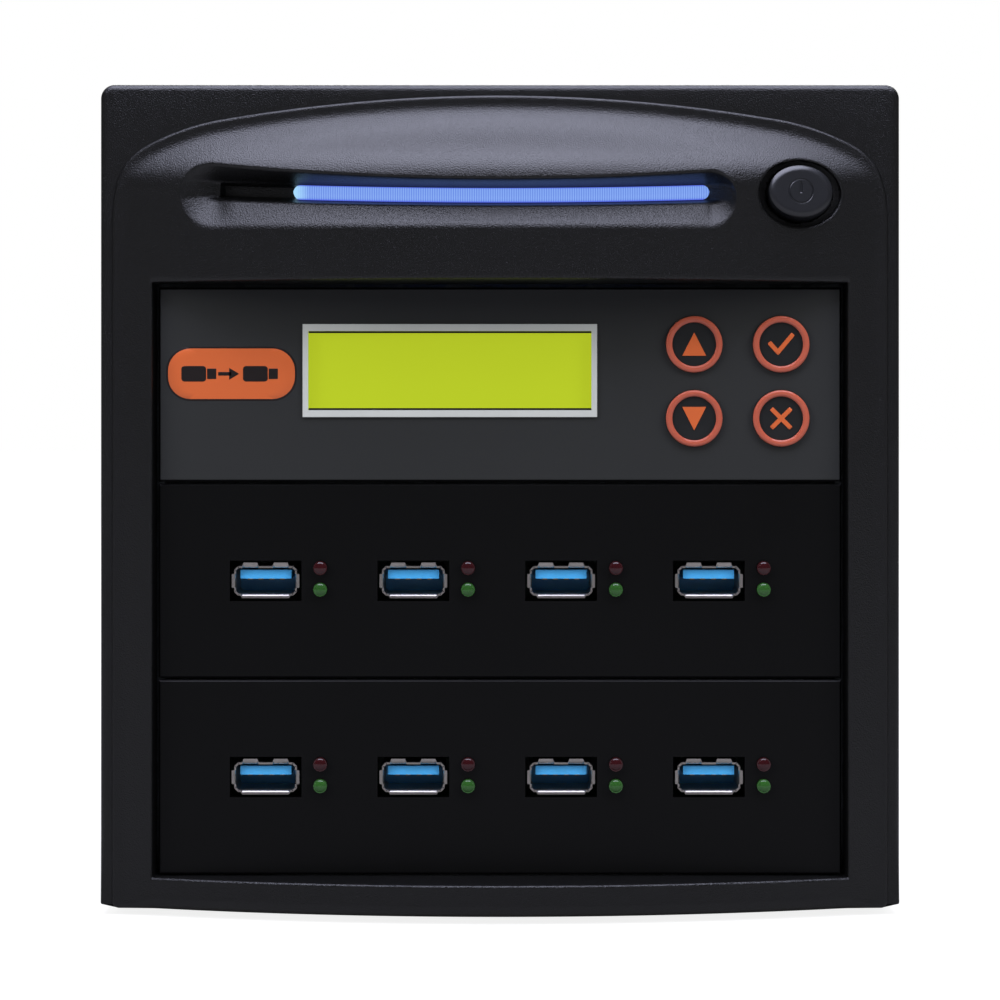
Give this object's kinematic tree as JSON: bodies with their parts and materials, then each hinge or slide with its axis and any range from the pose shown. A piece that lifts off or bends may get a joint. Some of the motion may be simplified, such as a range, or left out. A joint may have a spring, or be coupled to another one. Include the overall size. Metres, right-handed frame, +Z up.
{
  "type": "usb flash drive duplicator",
  "caption": "Desktop flash drive duplicator: three-bay steel case, bowed plastic front with lit scoop and oval button, display plate with keys, two plates of USB sockets.",
  "frame": {"origin": "on the ground, under the middle of the bounding box", "axes": "+X to the right seen from the front, -Y out of the front, +Z up"},
  "size_m": [0.174, 0.33, 0.1807],
  "materials": {
    "front_abs": "spark-eroded black ABS moulding",
    "plate_abs": "smooth satin black ABS",
    "button_abs": "satin grey ABS",
    "key_abs": "satin black ABS with orange symbols",
    "overlay_film": "finely textured polyester film",
    "lcd_frame": "light grey printed frame",
    "lcd_glass": "yellow-green character display",
    "lcd_module": "black steel display housing",
    "light_bar": "prismatic clear acrylic lit blue",
    "circuit_board": "green solder mask",
    "switch_body": "black nylon",
    "spring_steel": "drawn wire",
    "plated_steel": "tin-plated sheet steel",
    "socket_blue": "blue moulded thermoplastic",
    "contact_gold": "gold-plated contacts",
    "red_lamp": "red diffused epoxy, unlit",
    "green_lamp": "green diffused epoxy, unlit",
    "pillar_brass": "turned brass",
    "zinc_steel": "zinc-coated sheet steel",
    "black_paint": "fine black powder coat on sheet steel",
    "screw_steel": "zinc-plated steel screws",
    "foot_rubber": "moulded black rubber",
    "fan_plastic": "glass-filled black plastic",
    "guard_wire": "plated steel wire",
    "inlet_plastic": "black thermoplastic",
    "pin_brass": "plated brass",
    "rocker_plastic": "glossy black thermoplastic",
    "loom_sleeve": "bundled insulated wires"
  },
  "bodies": {
    "root": {"bay_bracket_left": "zinc_steel", "bay_bracket_right": "zinc_steel", "bay_screws": "screw_steel", "board_pillars": "pillar_brass", "chassis": "zinc_steel", "control_board": "circuit_board", "cover_screws": "screw_steel", "data_loom": "loom_sleeve", "display_faceplate": "plate_abs", "display_overlay": "overlay_film", "feet": "foot_rubber", "foot_screws": "screw_steel", "front_bezel": "front_abs", "green_leds_lower": "green_lamp", "green_leds_upper": "green_lamp", "inlet_pins": "pin_brass", "key_switches": "switch_body", "lcd_frame": "lcd_frame", "lcd_glass": "lcd_glass", "lcd_module": "lcd_module", "light_bar": "light_bar", "light_board": "circuit_board", "mains_inlet": "inlet_plastic", "power_button_spring": "spring_steel", "power_switch": "switch_body", "psu_board": "circuit_board", "psu_case": "zinc_steel", "psu_fan_frame": "fan_plastic", "psu_fan_guard": "guard_wire", "psu_fan_screws": "screw_steel", "psu_lid": "zinc_steel", "psu_screws": "screw_steel", "rear_fan_frame": "fan_plastic", "rear_fan_guard": "guard_wire", "rear_fan_screws": "screw_steel", "rear_panel": "zinc_steel", "red_leds_lower": "red_lamp", "red_leds_upper": "red_lamp", "rocker_frame": "inlet_plastic", "supply_loom": "loom_sleeve", "top_cover": "black_paint", "usb_board_lower": "circuit_board", "usb_board_upper": "circuit_board", "usb_contacts_lower": "contact_gold", "usb_contacts_upper": "contact_gold", "usb_faceplate_lower": "plate_abs", "usb_faceplate_upper": "plate_abs", "usb_shells_lower": "plated_steel", "usb_shells_upper": "plated_steel", "usb_tongues_lower": "socket_blue", "usb_tongues_upper": "socket_blue"},
    "power_button": {"power_button": "button_abs"},
    "key_up": {"key_up": "key_abs"},
    "key_down": {"key_down": "key_abs"},
    "key_enter": {"key_enter": "key_abs"},
    "key_cancel": {"key_cancel": "key_abs"},
    "power_rocker": {"power_rocker": "rocker_plastic"},
    "psu_fan_rotor": {"psu_fan_rotor": "fan_plastic"},
    "rear_fan_rotor": {"rear_fan_rotor": "fan_plastic"}
  },
  "joints": [
    {"name": "power_button_press", "type": "slide", "parent": "root", "child": "power_button", "axis": [0, 1, 0], "range_m": [0, 0.003], "stiffness_N_per_m": 250, "springref_m": -0.003, "deforming": ["power_button_spring"]},
    {"name": "key_up_press", "type": "slide", "parent": "root", "child": "key_up", "axis": [0, 1, 0], "range_m": [0, 0.0006], "stiffness_N_per_m": 800, "springref_m": -0.0008},
    {"name": "key_down_press", "type": "slide", "parent": "root", "child": "key_down", "axis": [0, 1, 0], "range_m": [0, 0.0006], "stiffness_N_per_m": 800, "springref_m": -0.0008},
    {"name": "key_enter_press", "type": "slide", "parent": "root", "child": "key_enter", "axis": [0, 1, 0], "range_m": [0, 0.0006], "stiffness_N_per_m": 800, "springref_m": -0.0008},
    {"name": "key_cancel_press", "type": "slide", "parent": "root", "child": "key_cancel", "axis": [0, 1, 0], "range_m": [0, 0.0006], "stiffness_N_per_m": 800, "springref_m": -0.0008},
    {"name": "power_rocker_tilt", "type": "hinge", "parent": "root", "child": "power_rocker", "pos_m": [-0.048, 0.16, 0.1474], "axis": [0, 0, 1], "range_deg": [-16, 0]},
    {"name": "psu_fan_spin", "type": "hinge", "parent": "root", "child": "psu_fan_rotor", "pos_m": [0.023, 0.15, 0.1334], "axis": [0, 1, 0], "continuous": true},
    {"name": "rear_fan_spin", "type": "hinge", "parent": "root", "child": "rear_fan_rotor", "pos_m": [0, 0.151, 0.0478], "axis": [0, 1, 0], "continuous": true}
  ]
}
